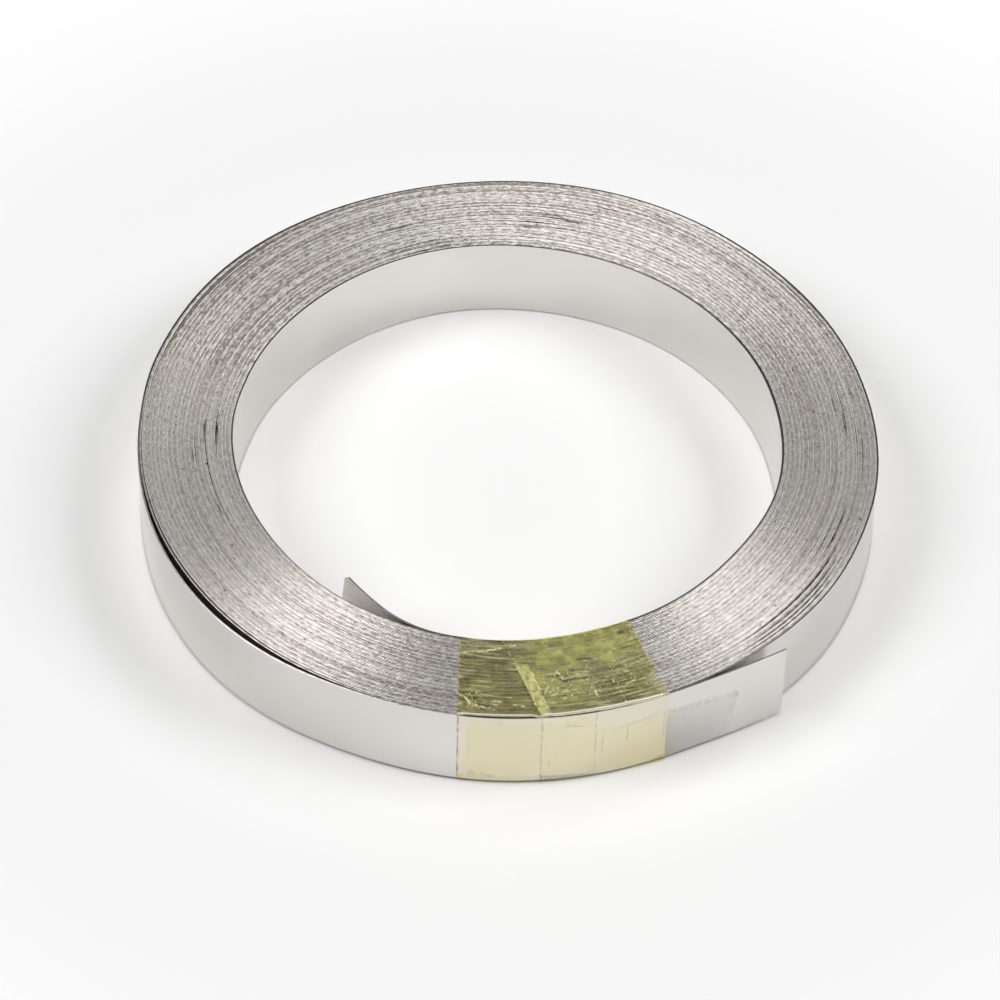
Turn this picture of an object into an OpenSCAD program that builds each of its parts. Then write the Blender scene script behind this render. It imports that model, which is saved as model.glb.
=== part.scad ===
// A coil of nickel strip, held by two wraps of clear tape.
// The coil lies flat: its axis is Z, and the strip's width is its height.
// The strip is wound counterclockwise, seen from above, from the bore outwards.

/* [Strip] */
// Width of the strip, which is the height of the coil
strip_w = 8; // [4:0.5:20]
// Thickness of the strip
strip_t = 0.15; // [0.1:0.01:0.3]

/* [Coil] */
// Diameter of the bore
bore_d = 47.3; // [40:0.1:80]
// Number of turns
turns = 57; // [30:1:120]
// Air left between one turn and the next
turn_gap = 0.003; // [0.001:0.001:0.02]

/* [Open gaps on the ends] */
// Turns that lie tight together between one open gap and the next
gap_turns = 4; // [2:1:10]
// Width of an open gap
gap_w = 0.06; // [0.03:0.01:0.12]
// Depth of an open gap
gap_depth = 0.25; // [0.2:0.05:1]

/* [Free ends of the strip] */
// Length of the outer end, along its curve
outer_end_l = 10.4; // [4:0.1:20]
// Bend radius of the outer end, almost straight
outer_end_r = 220; // [80:1:400]
// Length of the inner end, along its curve
inner_end_l = 10.9; // [4:0.1:16]
// Bend radius of the inner end
inner_end_r = 12.3; // [9:0.1:16]
// Slant of the inner end's cut
cut_slant = 9; // [0:1:30]
// Corner clipped off the inner end
corner_clip = 0.5; // [0.2:0.1:1]
// Distance from a tape's edge to the place where the strip's end lifts off
lift_off = 0.8; // [0.4:0.1:3]

/* [Tape] */
// Width of the tape
tape_w = 11.5; // [6:0.1:15]
// Thickness of one layer of tape
tape_t = 0.06; // [0.03:0.01:0.09]
// Distance of the under tape's middle line from the coil's axis
under_tape_x = 2.3; // [-4:0.1:4]
// Distance of the over tape's middle line from the coil's axis
over_tape_x = -4.3; // [-6:0.1:4]
// Angle between the over tape and the under tape
over_tape_turn = 22.5; // [15:0.5:40]

/* [Hidden] */
$fn = 180;

// Radii of the coil
bore_r = bore_d / 2;
pitch = strip_t + turn_gap;
build = turns * pitch;
coil_r = bore_r + build;

// Two layers of tape lie under the coil, flush with its underside
layers = 2;
tape_seat = layers * tape_t;
// The strip's ends start this far inside the coil, so they leave it at a clean angle
root_depth = strip_t / 4;
// Half of the length that the slanted cut takes up along the strip
cut_run = strip_w / 2 * tan(cut_slant);
// Lean of the cut that clips the corner
corner_lean = 45;
// A cutting block larger than the coil
block = 4 * coil_r + strip_w;

// Direction of the under tape from the coil's axis
tape_direction = -90;
// Angles at which the strip's ends lift off, just past the tapes that hold them
outer_lift = tape_direction + over_tape_turn
    + asin((over_tape_x + tape_w / 2) / coil_r) + arc_angle(lift_off, coil_r);
inner_lift = tape_direction
    + asin((under_tape_x - tape_w / 2) / bore_r) - arc_angle(lift_off, bore_r);

nickel_colour = [0.74, 0.74, 0.75];
under_tape_colour = [0.60, 0.61, 0.42];
over_tape_colour = [0.66, 0.64, 0.40];

// Angle of an arc of a given length and radius
function arc_angle(length, radius) = length / radius * 180 / PI;

// Outline of a stretch of strip bent to an arc, starting on +X
module bent_strip(inner_r, length) {
    angle = arc_angle(length, inner_r);
    reach = 2 * inner_r;
    intersection() {
        difference() {
            circle(inner_r + strip_t);
            circle(inner_r);
        }
        polygon([[0, 0], [reach, 0], reach * [cos(angle), sin(angle)]]);
    }
}

// Outer end: the last turn leaves the coil almost straight
module outer_end() {
    rotate(outer_lift)
        translate([coil_r - root_depth - outer_end_r, 0])
            bent_strip(outer_end_r - strip_t, outer_end_l);
}

// Inner end: the first turn curls into the bore
module inner_end() {
    rotate(inner_lift)
        translate([bore_r + root_depth - inner_end_r, 0])
            rotate(-arc_angle(inner_end_l + cut_run, inner_end_r))
                bent_strip(inner_end_r, inner_end_l + cut_run);
}

// The wound turns and both free ends, seen from above
module strip_outline() {
    difference() {
        circle(coil_r);
        circle(bore_r);
    }
    outer_end();
    inner_end();
}

// Rings of air between groups of turns, open on both ends of the coil
module open_gaps() {
    for (turn = [gap_turns : gap_turns : turns - 1])
        for (z = [0, strip_w])
            rotate_extrude()
                translate([bore_r + turn * pitch - gap_w / 2, z - gap_depth])
                    square([gap_w, 2 * gap_depth]);
}

// Frame at the tip of the inner end: +X away from the bend's centre, +Y back along the strip
module at_inner_tip() {
    rotate([0, 0, inner_lift])
        translate([bore_r + root_depth - inner_end_r, 0, 0])
            rotate([0, 0, -arc_angle(inner_end_l, inner_end_r)])
                translate([inner_end_r, 0, 0])
                    children();
}

// Everything beyond a plane that faces the tip, leaning back over it
module beyond(lean) {
    rotate([-lean, 0, 0])
        translate([-block / 2, -block, -block / 2])
            cube(block);
}

// What is cut off the inner end: a slant, and the upper corner
module inner_end_cut() {
    intersection() {
        translate([0, 0, -strip_w])
            cylinder(r = bore_r - strip_t, h = 3 * strip_w);
        at_inner_tip() {
            translate([0, 0, strip_w / 2])
                beyond(cut_slant);
            translate([0, cut_run + corner_clip, strip_w])
                beyond(corner_lean);
        }
    }
}

// Straight lane that a tape covers, seen from above
module tape_lane(turn, middle, spare = 0) {
    rotate([0, 0, tape_direction + turn])
        translate([0, middle - tape_w / 2 - spare, -block / 2])
            cube([block / 2, tape_w + 2 * spare, block]);
}

module under_lane(spare = 0) {
    tape_lane(0, under_tape_x, spare);
}

module over_lane() {
    tape_lane(over_tape_turn, over_tape_x);
}

// The coil's outline where the tapes pass round it, grown by the tape on it
module wrap(grow = 0) {
    rotate_extrude()
        translate([bore_r - grow, tape_seat - grow])
            square([build + 2 * grow, strip_w - tape_seat + 2 * grow]);
}

// Space that the tapes take under the coil
module tape_seat_cut() {
    intersection() {
        translate([-block / 2, -block / 2, tape_seat - block])
            cube(block);
        union() {
            under_lane();
            over_lane();
        }
    }
}

module strip_coil() {
    color(nickel_colour)
        difference() {
            linear_extrude(strip_w)
                strip_outline();
            open_gaps();
            inner_end_cut();
            tape_seat_cut();
        }
}

module under_tape() {
    color(under_tape_colour)
        difference() {
            intersection() {
                under_lane();
                wrap(tape_t);
            }
            wrap();
        }
}

// The over tape lies on the coil, and climbs over the under tape where they cross
module over_tape() {
    color(over_tape_colour)
        difference() {
            intersection() {
                over_lane();
                union() {
                    wrap(tape_t);
                    intersection() {
                        under_lane(tape_t);
                        wrap(layers * tape_t);
                    }
                }
            }
            wrap();
            under_tape();
        }
}

strip_coil();
under_tape();
over_tape();
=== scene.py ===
import random
from functools import cache
from math import asin, atan2, cos, floor, hypot, pi, radians, sin, sqrt, tan
from types import SimpleNamespace

import bmesh
import bpy
from mathutils import Matrix, Vector, noise


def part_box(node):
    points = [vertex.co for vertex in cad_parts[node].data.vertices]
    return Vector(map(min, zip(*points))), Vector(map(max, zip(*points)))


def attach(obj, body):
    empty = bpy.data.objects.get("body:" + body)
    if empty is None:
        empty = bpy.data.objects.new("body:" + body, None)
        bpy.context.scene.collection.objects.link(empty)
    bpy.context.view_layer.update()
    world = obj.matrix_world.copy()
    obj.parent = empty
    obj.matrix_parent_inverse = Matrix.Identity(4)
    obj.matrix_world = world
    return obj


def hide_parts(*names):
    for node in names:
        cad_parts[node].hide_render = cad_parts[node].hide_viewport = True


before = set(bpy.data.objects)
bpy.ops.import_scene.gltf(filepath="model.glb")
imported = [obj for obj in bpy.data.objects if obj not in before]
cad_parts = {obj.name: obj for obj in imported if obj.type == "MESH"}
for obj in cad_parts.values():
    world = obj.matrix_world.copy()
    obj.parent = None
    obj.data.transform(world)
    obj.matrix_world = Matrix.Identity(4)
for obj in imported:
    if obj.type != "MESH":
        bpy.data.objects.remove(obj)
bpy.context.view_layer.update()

# Camera
# A long lens looks down on the coil from the side where the tape is, as in the photograph.
# It stands a little crooked, so the coil leans a degree and a half in the picture.
mm = 0.001
camera_distance = 369.5 * mm
camera_height = radians(46.79)
camera_roll = radians(1.53)
camera_aim = Vector((-0.48, -0.27, -0.26)) * mm
photo_focal_px = 4179
photo_side_px = 1000
sensor_mm = 36

camera_data = bpy.data.cameras.new("camera")
camera_data.sensor_width = sensor_mm
camera_data.lens = photo_focal_px / photo_side_px * sensor_mm
camera_data.clip_start = 10 * mm
camera_data.clip_end = 10
camera = bpy.data.objects.new("camera", camera_data)
bpy.context.collection.objects.link(camera)
camera_place = Vector((0, -cos(camera_height), sin(camera_height))) * camera_distance
looking = (camera_aim - camera_place).to_track_quat("-Z", "Y").to_matrix().to_4x4()
camera.matrix_world = Matrix.Translation(camera_place) @ looking @ Matrix.Rotation(camera_roll, 4, "Z")
bpy.context.scene.camera = camera
bpy.context.scene.view_settings.view_transform = "Standard"


# Table and light
# A white table in a white studio, with a softbox high on each side and weak ones above and behind.
# Metal and clear film see the same white as the camera does, and the table keeps the coil's shadow.
def linear(hex_colour):
    """An sRGB hex colour as a linear RGBA value."""
    channels = [int(hex_colour[i:i + 2], 16) / 255 for i in (1, 3, 5)]
    curve = [c / 12.92 if c <= 0.04045 else ((c + 0.055) / 1.055) ** 2.4 for c in channels]
    return (*curve, 1.0)


def add(tree, kind, links=None, **settings):
    """Adds a node. Settings are its properties, or inputs by name; links feed inputs by name or number."""
    node = tree.nodes.new(kind)
    for name, value in settings.items():
        if hasattr(node, name):
            setattr(node, name, value)
        else:
            node.inputs[name.replace("_", " ")].default_value = value
    for name, source in (links or {}).items():
        tree.links.new(source, node.inputs[name])
    return node


def new_material(name):
    """An empty node material, its tree and its output node."""
    material = bpy.data.materials.new(name)
    material.use_nodes = True
    material.node_tree.nodes.clear()
    output = material.node_tree.nodes.new("ShaderNodeOutputMaterial")
    return material, material.node_tree, output


def seen_directly(tree):
    """1 for a ray from the camera, or one that metal or clear film sends on, and 0 for soft light."""
    path = add(tree, "ShaderNodeLightPath")
    either = add(tree, "ShaderNodeMath", operation="MAXIMUM",
                 links={0: path.outputs["Is Camera Ray"], 1: path.outputs["Is Glossy Ray"]})
    any_of_them = add(tree, "ShaderNodeMath", operation="MAXIMUM",
                      links={0: either.outputs[0], 1: path.outputs["Is Transmission Ray"]})
    return any_of_them.outputs[0]


# The soft light comes from above the camera, and fades towards the horizon and the back.
soft_light = 0.22
soft_from = Vector((0, -0.4, 0.92))
soft_starts_at = 0.2
world = bpy.data.worlds.new("white_studio")
world.use_nodes = True
tree = world.node_tree
tree.nodes.clear()
towards = add(tree, "ShaderNodeTexCoord")
facing = add(tree, "ShaderNodeVectorMath", operation="DOT_PRODUCT", links={0: towards.outputs["Generated"]})
facing.inputs[1].default_value = soft_from
soft = add(tree, "ShaderNodeMapRange", From_Min=soft_starts_at, To_Max=soft_light,
           links={"Value": facing.outputs["Value"]})
strength = add(tree, "ShaderNodeMapRange", To_Max=1.0,
               links={"Value": seen_directly(tree), "To Min": soft.outputs[0]})
sky = add(tree, "ShaderNodeBackground", Color=(1, 1, 1, 1), links={"Strength": strength.outputs[0]})
add(tree, "ShaderNodeOutputWorld", links={"Surface": sky.outputs[0]})
bpy.context.scene.world = world

# Matt white laminate: it takes the coil's soft shadow, and goes over into the white studio further out.
laminate, tree, output = new_material("matt_white_laminate")
shadow_reach = 42 * mm
white_from = 85 * mm
place = add(tree, "ShaderNodeTexCoord")
from_middle = add(tree, "ShaderNodeVectorMath", operation="LENGTH", links={0: place.outputs["Object"]})
beyond = add(tree, "ShaderNodeMapRange", interpolation_type="SMOOTHSTEP", From_Min=shadow_reach,
             From_Max=white_from, links={"Value": from_middle.outputs["Value"]})
matt = add(tree, "ShaderNodeBsdfDiffuse", Color=linear("#F2F2F2"))
studio_white = add(tree, "ShaderNodeEmission", Color=(1, 1, 1, 1), links={"Strength": seen_directly(tree)})
laid = add(tree, "ShaderNodeMixShader",
           links={0: beyond.outputs[0], 1: matt.outputs[0], 2: studio_white.outputs[0]})
tree.links.new(laid.outputs[0], output.inputs["Surface"])

table_half_side = 600 * mm
table_mesh = bpy.data.meshes.new("table")
bm = bmesh.new()
bmesh.ops.create_grid(bm, x_segments=1, y_segments=1, size=table_half_side)
bm.to_mesh(table_mesh)
bm.free()
table_mesh.materials.append(laminate)
table = bpy.data.objects.new("table", table_mesh)
bpy.context.collection.objects.link(table)


def softbox(name, direction, side, power):
    """A square lamp a metre away that faces the coil. Its side is in metres, its power in watts."""
    data = bpy.data.lights.new(name, "AREA")
    data.size = side
    data.energy = power
    lamp = bpy.data.objects.new(name, data)
    bpy.context.collection.objects.link(lamp)
    place = Vector(direction).normalized()
    facing = (-place).to_track_quat("-Z", "Y").to_matrix().to_4x4()
    lamp.matrix_world = Matrix.Translation(place) @ facing


softbox("left_softbox", (-0.65, -0.175, 0.74), 0.5, 5.15)
softbox("right_softbox", (0.728, -0.021, 0.685), 0.5, 5.2)
softbox("top_softbox", (-0.207, 0.241, 0.948), 0.55, 1.75)
softbox("back_softbox", (0.45, 0.494, 0.743), 0.2, 0.65)


# Wound strip
# Some ten metres of nickel strip, rolled bright to 0.15 mm and slit to 8 mm, wound flat by hand.
# It is made as it is wound: a flat length is cut at its end and bent turn by turn, slack places
# included, then given its thickness. Its first and last centimetre stand free of the coil.
coil_low, coil_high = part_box("strip_coil")
strip_width = coil_high.z - coil_low.z
coil_radius = coil_high.x
bore_radius = 23.65 * mm
# It is drawn a little thinner than it is, so that hairline gaps show between the turns.
strip_thickness = 0.145 * mm
inner_lift = radians(-100.3)
outer_lift = radians(-63.5)
full_turns = 56
wound_angle = full_turns * 2 * pi + outer_lift - inner_lift
turn_pitch = (coil_radius - strip_thickness - bore_radius) / wound_angle * 2 * pi
# The tape under the coil's front holds that side up a little.
front_lift = 0.2 * mm
# Turns stand up to this much higher or lower than their neighbours, in waves of about this length.
unevenness = 0.07 * mm
uneven_length = 22 * mm
# The shears left the outer side of a slit edge a little higher than its bore side.
slit_rise = 0.045 * mm

# The coil was wound by hand and isn't quite round: bearing in degrees, then how far its bore and its
# outside lie off a true circle, in mm.
out_of_round = [
    (-180, 0.10, -0.30), (-150, 0.00, -0.25), (-120, 0.28, 0.00), (-90, 0.55, 0.33), (-60, 0.28, 0.28),
    (-35, 0.08, 0.40), (-15, 0.33, 0.17), (15, 0.00, -0.20), (40, -0.12, -0.25), (75, -0.22, 0.15),
    (105, -0.05, 0.00), (140, -0.22, 0.28), (165, -0.10, -0.05), (180, 0.10, -0.30),
]

# Places where a turn stands off the one inside it: bearing in degrees, radius and width in mm, and
# half of the angle over which the gap opens and closes. The last turn's gap is the widest.
last_slack_places = [(-140, 32.20, 0.15, 48), (-139, 32.20, 0.38, 34), (-142, 32.04, 0.12, 54)]
slack_places = [
    (-170, 26.17, 0.07, 25), (-178, 25.20, 0.08, 10), (-173, 27.07, 0.06, 7),
    (84, 27.50, 0.06, 14), (112, 27.63, 0.06, 8), (115, 25.86, 0.05, 8),
    (8, 29.70, 0.06, 8), (2, 30.40, 0.05, 8), (-3, 30.90, 0.05, 8),
    (20, 23.90, 0.10, 45), (140, 32.15, 0.05, 40), (148, 31.9, 0.10, 36), (145, 31.6, 0.08, 30),
    (143, 31.2, 0.05, 24), (40, 32.15, 0.05, 30), (42, 31.9, 0.09, 30), (38, 31.5, 0.07, 24),
    (-35, 30.65, 0.06, 18), (-36, 31.00, 0.04, 16), (-38, 31.32, 0.04, 16), (-21, 30.03, 0.04, 12),
]
# Places where a slit edge is painted black, partly for torn edge and partly as painted shade beside the
# slack gaps: bearing in degrees, radius in mm, half of the angle that the mark covers, and how black it is.
black_mark_places = [
    (-37, 30.65, 15, 1.0), (-38, 31.00, 13, 0.9), (-40, 31.32, 12, 0.8), (-41, 31.64, 12, 0.9),
    (-44, 31.95, 12, 0.6), (-22.9, 30.03, 3, 1.0), (-18.9, 30.03, 2.5, 0.9), (-21, 30.03, 10, 0.4),
    (-23, 29.42, 5, 0.5), (73, 29.95, 3, 0.7), (76.5, 28.80, 2.5, 0.7), (78.4, 27.62, 2.5, 1.0),
    (81.4, 27.65, 2.5, 0.9), (83.3, 28.03, 2.5, 0.8), (86, 26.88, 2.5, 1.0), (87, 26.40, 3, 1.0),
    (80.6, 26.46, 2.5, 0.8), (85, 25.35, 2.5, 0.8), (83, 24.39, 2.5, 0.6), (106, 24.60, 3, 0.8),
    (108, 25.10, 3, 0.7), (105, 24.20, 3, 0.7), (110, 24.00, 4, 0.8), (115, 24.95, 3, 0.6),
    (109, 26.40, 3, 0.6), (63, 31.00, 2.5, 0.6), (64, 30.72, 2.5, 0.6), (66.4, 27.46, 2.5, 0.6),
    (60, 27.84, 2.5, 0.5), (57, 26.10, 2.5, 0.5), (46.5, 30.10, 2.5, 0.6), (34, 31.99, 7, 0.6),
    (112, 27.52, 2.5, 0.9), (113.3, 24.58, 2.5, 0.9), (111.4, 25.36, 2.5, 0.7), (143, 31.43, 8, 0.7),
    (148, 30.66, 8, 0.5), (140, 29.90, 8, 0.4), (165, 26.78, 2.5, 0.5), (-178.5, 26.22, 2.5, 0.9),
    (-177.4, 25.11, 3.5, 1.0), (-157.9, 26.30, 2.5, 0.7), (-172, 27.17, 2.5, 0.7), (3, 29.49, 2.5, 0.9),
    (6, 29.49, 2.5, 0.5), (8.6, 28.95, 2.5, 0.8), (11.3, 30.83, 2.5, 0.7),
]
# The shears cut some stretches more roughly than others: bearing in degrees, and how rough from 0 to 1.
roughly_cut = [
    (-180, 0.0), (-150, 0.15), (-120, 0.7), (-95, 0.8), (-60, 0.5), (-30, 0.4), (-12, 0.0), (10, 0.3),
    (30, 0.7), (60, 0.8), (80, 1.0), (160, 1.0), (170, 0.2), (180, 0.0),
]
# Elsewhere the turns stand apart by a hair, at random places in four sectors between these bearings.
loose_sectors = [(95, 155), (20, 80), (-65, -10), (190, 250)]
small_slacks = 210
small_slack_radii = (23.9, 31.9)
small_slack_widths = (0.006, 0.024)
small_slack_half_spans = (6, 24)
chance = random.Random(4)
for _ in range(small_slacks):
    slack_places.append((chance.uniform(*chance.choice(loose_sectors)), chance.uniform(*small_slack_radii),
                         chance.uniform(*small_slack_widths), chance.uniform(*small_slack_half_spans)))


def pass_at(bearing, radius):
    """The angle of winding at which the strip passes a bearing at a radius."""
    first_pass = (radians(bearing) - inner_lift) % (2 * pi)
    return first_pass + 2 * pi * floor((radius * mm - bore_radius) / turn_pitch)


def slack_window(bearing, radius, width, half_span):
    """The angle of winding after which a slack place pushes the turns out, and its size."""
    return pass_at(bearing, radius) - pi, radians(bearing), width * mm, radians(half_span)


last_slacks = [slack_window(*slack) for slack in last_slack_places]
inner_slacks = [slack_window(*slack) for slack in slack_places]


def opened(slack, bearing):
    """How wide a slack place is open at a bearing."""
    _, middle, width, half_span = slack
    off = (bearing - middle + pi) % (2 * pi) - pi
    return width * (1 + cos(pi * off / half_span)) / 2 if abs(off) < half_span else 0


def ramp(low, high, value):
    """0 below low, 1 above high, and smooth between them."""
    share = min(max((value - low) / (high - low), 0), 1)
    return share * share * (3 - 2 * share)


def between(points, at):
    """Smooth values between listed points, each a place followed by its values."""
    for low, high in zip(points, points[1:]):
        if at <= high[0]:
            share = ramp(low[0], high[0], at)
            return [a + (b - a) * share for a, b in zip(low[1:], high[1:])]
    return points[-1][1:]


def in_degrees(bearing):
    """A bearing in degrees, from -180 to 180."""
    return ((bearing + pi) % (2 * pi) - pi) * 180 / pi


def rims(bearing):
    """Radius of the bore and of the coil's outside at a bearing."""
    inner, outer = between(out_of_round, in_degrees(bearing))
    return bore_radius + inner * mm, coil_radius + outer * mm


black_mark_passes = [(pass_at(bearing, radius), radians(half_span), black)
               for bearing, radius, half_span, black in black_mark_places]


def black_mark_at(wound):
    """How black the slit edge is at an angle of winding, at the listed marks of torn edge and painted gap
    shade.
    """
    return max(black * (1 - ramp(0.5 * half_span, half_span, abs(wound - middle)))
               for middle, half_span, black in black_mark_passes)


def length_wound(wound):
    """Length of strip in the coil after an angle of winding."""
    return bore_radius * wound + turn_pitch * wound ** 2 / (4 * pi)


def angle_wound(along):
    """Angle of winding that takes up a length of strip."""
    growth = turn_pitch / (2 * pi)
    return (sqrt(bore_radius ** 2 + 2 * growth * along) - bore_radius) / growth


def outwards(bearing):
    """The level direction that a bearing points in."""
    return Vector((cos(bearing), sin(bearing), 0))


inner_end_length = 12.0 * mm
# The inner end is bent twice: length and radius of each bend, from the coil to the tip.
inner_end_bends = [(6.5 * mm, 11 * mm), (9 * mm, 30 * mm)]
inner_cut_slant = radians(9)
inner_corner_clip = 0.5 * mm
outer_end_length = 10.4 * mm
# The outer end is almost straight, with a slight kink.
outer_end_bends = [(6.3 * mm, 220 * mm), (0.6 * mm, 25 * mm), (9 * mm, 220 * mm)]
wound_length = length_wound(wound_angle)


def wound_place(wound):
    """Bore side of the strip and its bearing, at an angle of winding. Slack between the inner turns
    crowds the others, so only the last turn's slack shows in the coil's outline."""
    bearing = inner_lift + wound
    inner, outer = rims(bearing)
    crowding = sum(opened(slack, bearing) for slack in inner_slacks)
    push = sum(opened(slack, bearing) for slack in inner_slacks + last_slacks if wound > slack[0])
    build = outer - strip_thickness - inner - crowding
    return outwards(bearing) * (inner + build * wound / wound_angle + push), bearing


def bent_end(wound, bends, left, way):
    """Bore side of a free end and the bearing it faces, at a length that is left past the coil."""
    place, facing = wound_place(wound)
    for length, bend in bends:
        run = min(left, length)
        centre = place - outwards(facing) * bend
        facing += way * run / bend
        place = centre + outwards(facing) * bend
        left -= run
    return place, facing


@cache
def strip_place(along):
    """Bore side of the strip and the bearing it faces, at a length along it from the first turn."""
    if along > wound_length:
        return bent_end(wound_angle, outer_end_bends, along - wound_length, 1)
    if along < 0:
        return bent_end(0, inner_end_bends, -along, -1)
    return wound_place(angle_wound(along))


def resting_lift(y):
    """How far the tape under its front lifts the coil off the table, at a place from front to back."""
    return front_lift * (coil_radius - y) / (2 * coil_radius)


steps_per_turn = 150
end_steps = 26
wound_steps = round(wound_angle / (2 * pi) * steps_per_turn)
all_steps = end_steps + wound_steps + end_steps
inner_spare = 1.5 * mm


def length_at(step):
    """Length along the strip at a step of its mesh."""
    if step < end_steps:
        return (inner_end_length + inner_spare) * (step / end_steps - 1)
    if step <= end_steps + wound_steps:
        return length_wound((step - end_steps) / wound_steps * wound_angle)
    return wound_length + outer_end_length * (step - end_steps - wound_steps) / end_steps


bm = bmesh.new()
along_layer = bm.verts.layers.float.new("along")
turn_layer = bm.verts.layers.float.new("turn")
black_mark_layer = bm.verts.layers.float.new("torn")
rough_layer = bm.verts.layers.float.new("roughly_cut")
bmesh.ops.create_grid(bm, x_segments=all_steps, y_segments=1, size=0.5)
for v in bm.verts:
    v.co = (length_at(round((v.co.x + 0.5) * all_steps)), (v.co.y + 0.5) * strip_width, 0)

# The inner end is cut on a slant, and its upper corner is clipped.
cut_run = strip_width / 2 * tan(inner_cut_slant)
cuts = [((-inner_end_length, strip_width / 2, 0), (-1, tan(inner_cut_slant), 0)),
        ((cut_run + inner_corner_clip - inner_end_length, strip_width, 0), (-1, 1, 0))]
for point, past_it in cuts:
    bmesh.ops.bisect_plane(bm, geom=bm.verts[:] + bm.edges[:] + bm.faces[:], plane_co=point,
                           plane_no=past_it, clear_outer=True)

for v in bm.verts:
    v[along_layer] = v.co.x
    wound = angle_wound(min(max(v.co.x, 0), wound_length))
    v[turn_layer] = wound / (2 * pi)
    v[black_mark_layer] = black_mark_at(wound)
    v[rough_layer], = between(roughly_cut, in_degrees(inner_lift + wound))
    place, _ = strip_place(v.co.x)
    bumps = 0.5 * unevenness * (1 + noise.noise(Vector((v.co.x / uneven_length, 0, 0))))
    v.co = place + Vector((0, 0, v.co.y + bumps + resting_lift(place.y)))
wall = bmesh.ops.extrude_face_region(bm, geom=bm.faces[:])
outer_verts = {v for v in wall["geom"] if isinstance(v, bmesh.types.BMVert)}
for v in outer_verts:
    _, facing = strip_place(v[along_layer])
    v.co += outwards(facing) * strip_thickness
    if v.co.z > strip_width / 2:
        v.co.z += slit_rise
bmesh.ops.recalc_face_normals(bm, faces=bm.faces[:])

# The shears drew the outer corners of the slit edges down, and left the inner ones sharp.
sharp = radians(60)
corner_draw = 0.042 * mm
outer_corners = [e for e in bm.edges if outer_verts.issuperset(e.verts) and e.calc_face_angle(0) > sharp]
bmesh.ops.bevel(bm, geom=outer_corners, offset=corner_draw, offset_type="OFFSET", segments=1,
                profile=0.5, affect="EDGES", material=-1, clamp_overlap=True)
# Faces that stand up are rolled, and the others are slit edges.
most_lean = 0.3
for f in bm.faces:
    f.smooth = True
    f.material_index = 0 if abs(f.normal.z) < most_lean else 1
# The lines where the faces of the strip meet stay sharp.
most_bend = radians(25)
for e in bm.edges:
    e.smooth = e.calc_face_angle(0) < most_bend
strip_mesh = bpy.data.meshes.new("wound_strip")
bm.to_mesh(strip_mesh)
bm.free()
strip = bpy.data.objects.new("wound_strip", strip_mesh)
bpy.context.collection.objects.link(strip)

# Bright rolled nickel: a warm grey metal, smooth enough to mirror the white table softly, with soft
# clouds where it was handled.
rolled, tree, output = new_material("rolled_nickel")
place = add(tree, "ShaderNodeTexCoord")
cloud_size = 9 * mm
clouds = add(tree, "ShaderNodeTexNoise", Scale=1 / cloud_size, Detail=2.0,
             links={"Vector": place.outputs["Object"]})
shade = add(tree, "ShaderNodeMix", data_type="RGBA", links={"Factor": clouds.outputs["Fac"]})
shade.inputs["A"].default_value = linear("#D8D4D0")
shade.inputs["B"].default_value = linear("#E3E0DD")
surface = add(tree, "ShaderNodeBsdfPrincipled", Metallic=1.0, Roughness=0.26,
              links={"Base Color": shade.outputs["Result"]})
tree.links.new(surface.outputs[0], output.inputs["Surface"])
strip_mesh.materials.append(rolled)

# Slit nickel edge: sheared grey metal, rougher than the rolled face and darker, partly for its duller cut
# and partly as painted shade of the hairline gaps between turns. Each turn has its own faint tone, with
# short dark dashes that are partly torn edge and partly painted shade of gaps and sunken turns, and ripples
# across it that sparkle. It is black at the listed marks, partly torn edge and partly painted shade beside
# the slack gaps, and along the first turn, the last turn and the outer end.
slit, tree, output = new_material("slit_nickel_edge")
along = add(tree, "ShaderNodeAttribute", attribute_name="along")
tone_length = 40 * mm
# Faint darker lines come every few turns and wander with the tone: painted shade of the gaps and height
# steps between turns.
line_turns = 2.6
line_wander = 6.0
line_strength = 0.15
dash_length = 0.8 * mm
ripple_length = 0.45 * mm
ripple_depth = 0.03 * mm
tone = add(tree, "ShaderNodeTexNoise", noise_dimensions="1D", Scale=1 / tone_length, Detail=1.0,
           links={"W": along.outputs["Fac"]})
dashes = add(tree, "ShaderNodeTexNoise", noise_dimensions="1D", Scale=1 / dash_length, Detail=4.0,
             Roughness=0.65, links={"W": along.outputs["Fac"]})
turn = add(tree, "ShaderNodeAttribute", attribute_name="turn")
wander = add(tree, "ShaderNodeMath", operation="MULTIPLY", links={0: tone.outputs["Fac"]})
wander.inputs[1].default_value = line_wander
phase = add(tree, "ShaderNodeMath", operation="MULTIPLY_ADD",
            links={0: turn.outputs["Fac"], 2: wander.outputs[0]})
phase.inputs[1].default_value = 2 * pi / line_turns
lines = add(tree, "ShaderNodeMath", operation="SINE", links={0: phase.outputs[0]})
both = add(tree, "ShaderNodeMath", operation="MULTIPLY_ADD",
           links={0: lines.outputs[0], 2: dashes.outputs["Fac"]})
both.inputs[1].default_value = line_strength
rough = add(tree, "ShaderNodeAttribute", attribute_name="roughly_cut")
darkest = add(tree, "ShaderNodeMapRange", To_Min=0.0, To_Max=0.35, links={"Value": rough.outputs["Fac"]})
lightest = add(tree, "ShaderNodeMapRange", To_Min=1.0, To_Max=0.7, links={"Value": rough.outputs["Fac"]})
level = add(tree, "ShaderNodeMapRange", links={"Value": both.outputs[0], "From Min": darkest.outputs[0],
                                               "From Max": lightest.outputs[0]})
# Both tones are painted darker than the cut alone would be, as shade of the hairline gaps between turns.
shade = add(tree, "ShaderNodeMix", data_type="RGBA", links={"Factor": level.outputs[0]})
shade.inputs["A"].default_value = linear("#706963")
shade.inputs["B"].default_value = linear("#BAB7B4")
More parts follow.
